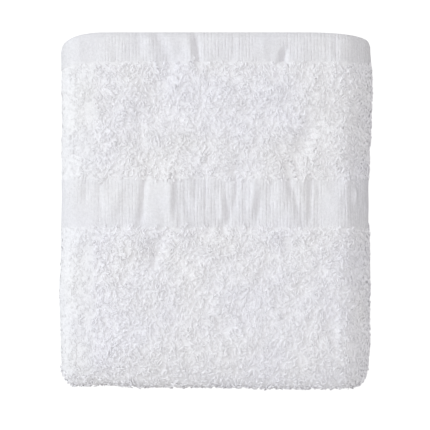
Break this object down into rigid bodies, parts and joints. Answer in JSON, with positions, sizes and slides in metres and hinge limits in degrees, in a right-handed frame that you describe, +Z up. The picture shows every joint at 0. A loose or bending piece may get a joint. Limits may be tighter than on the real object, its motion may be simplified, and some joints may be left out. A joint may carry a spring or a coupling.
{
  "type": "folded hand towel",
  "caption": "White terry hand towel with flat woven end hems and borders, folded into a soft rectangular stack.",
  "frame": {"origin": "middle of the face that the folded towel lies on", "axes": "+Z up through the stack, +Y towards the end where the hem shows, +X to the right across the towel, seen from above"},
  "size_m": [0.1474, 0.1671, 0.0343],
  "materials": {
    "terry_cotton": "matte looped cotton pile, with flat woven hems and borders of the same white yarn"
  },
  "bodies": {
    "root": {"towel": "terry_cotton"}
  },
  "joints": []
}
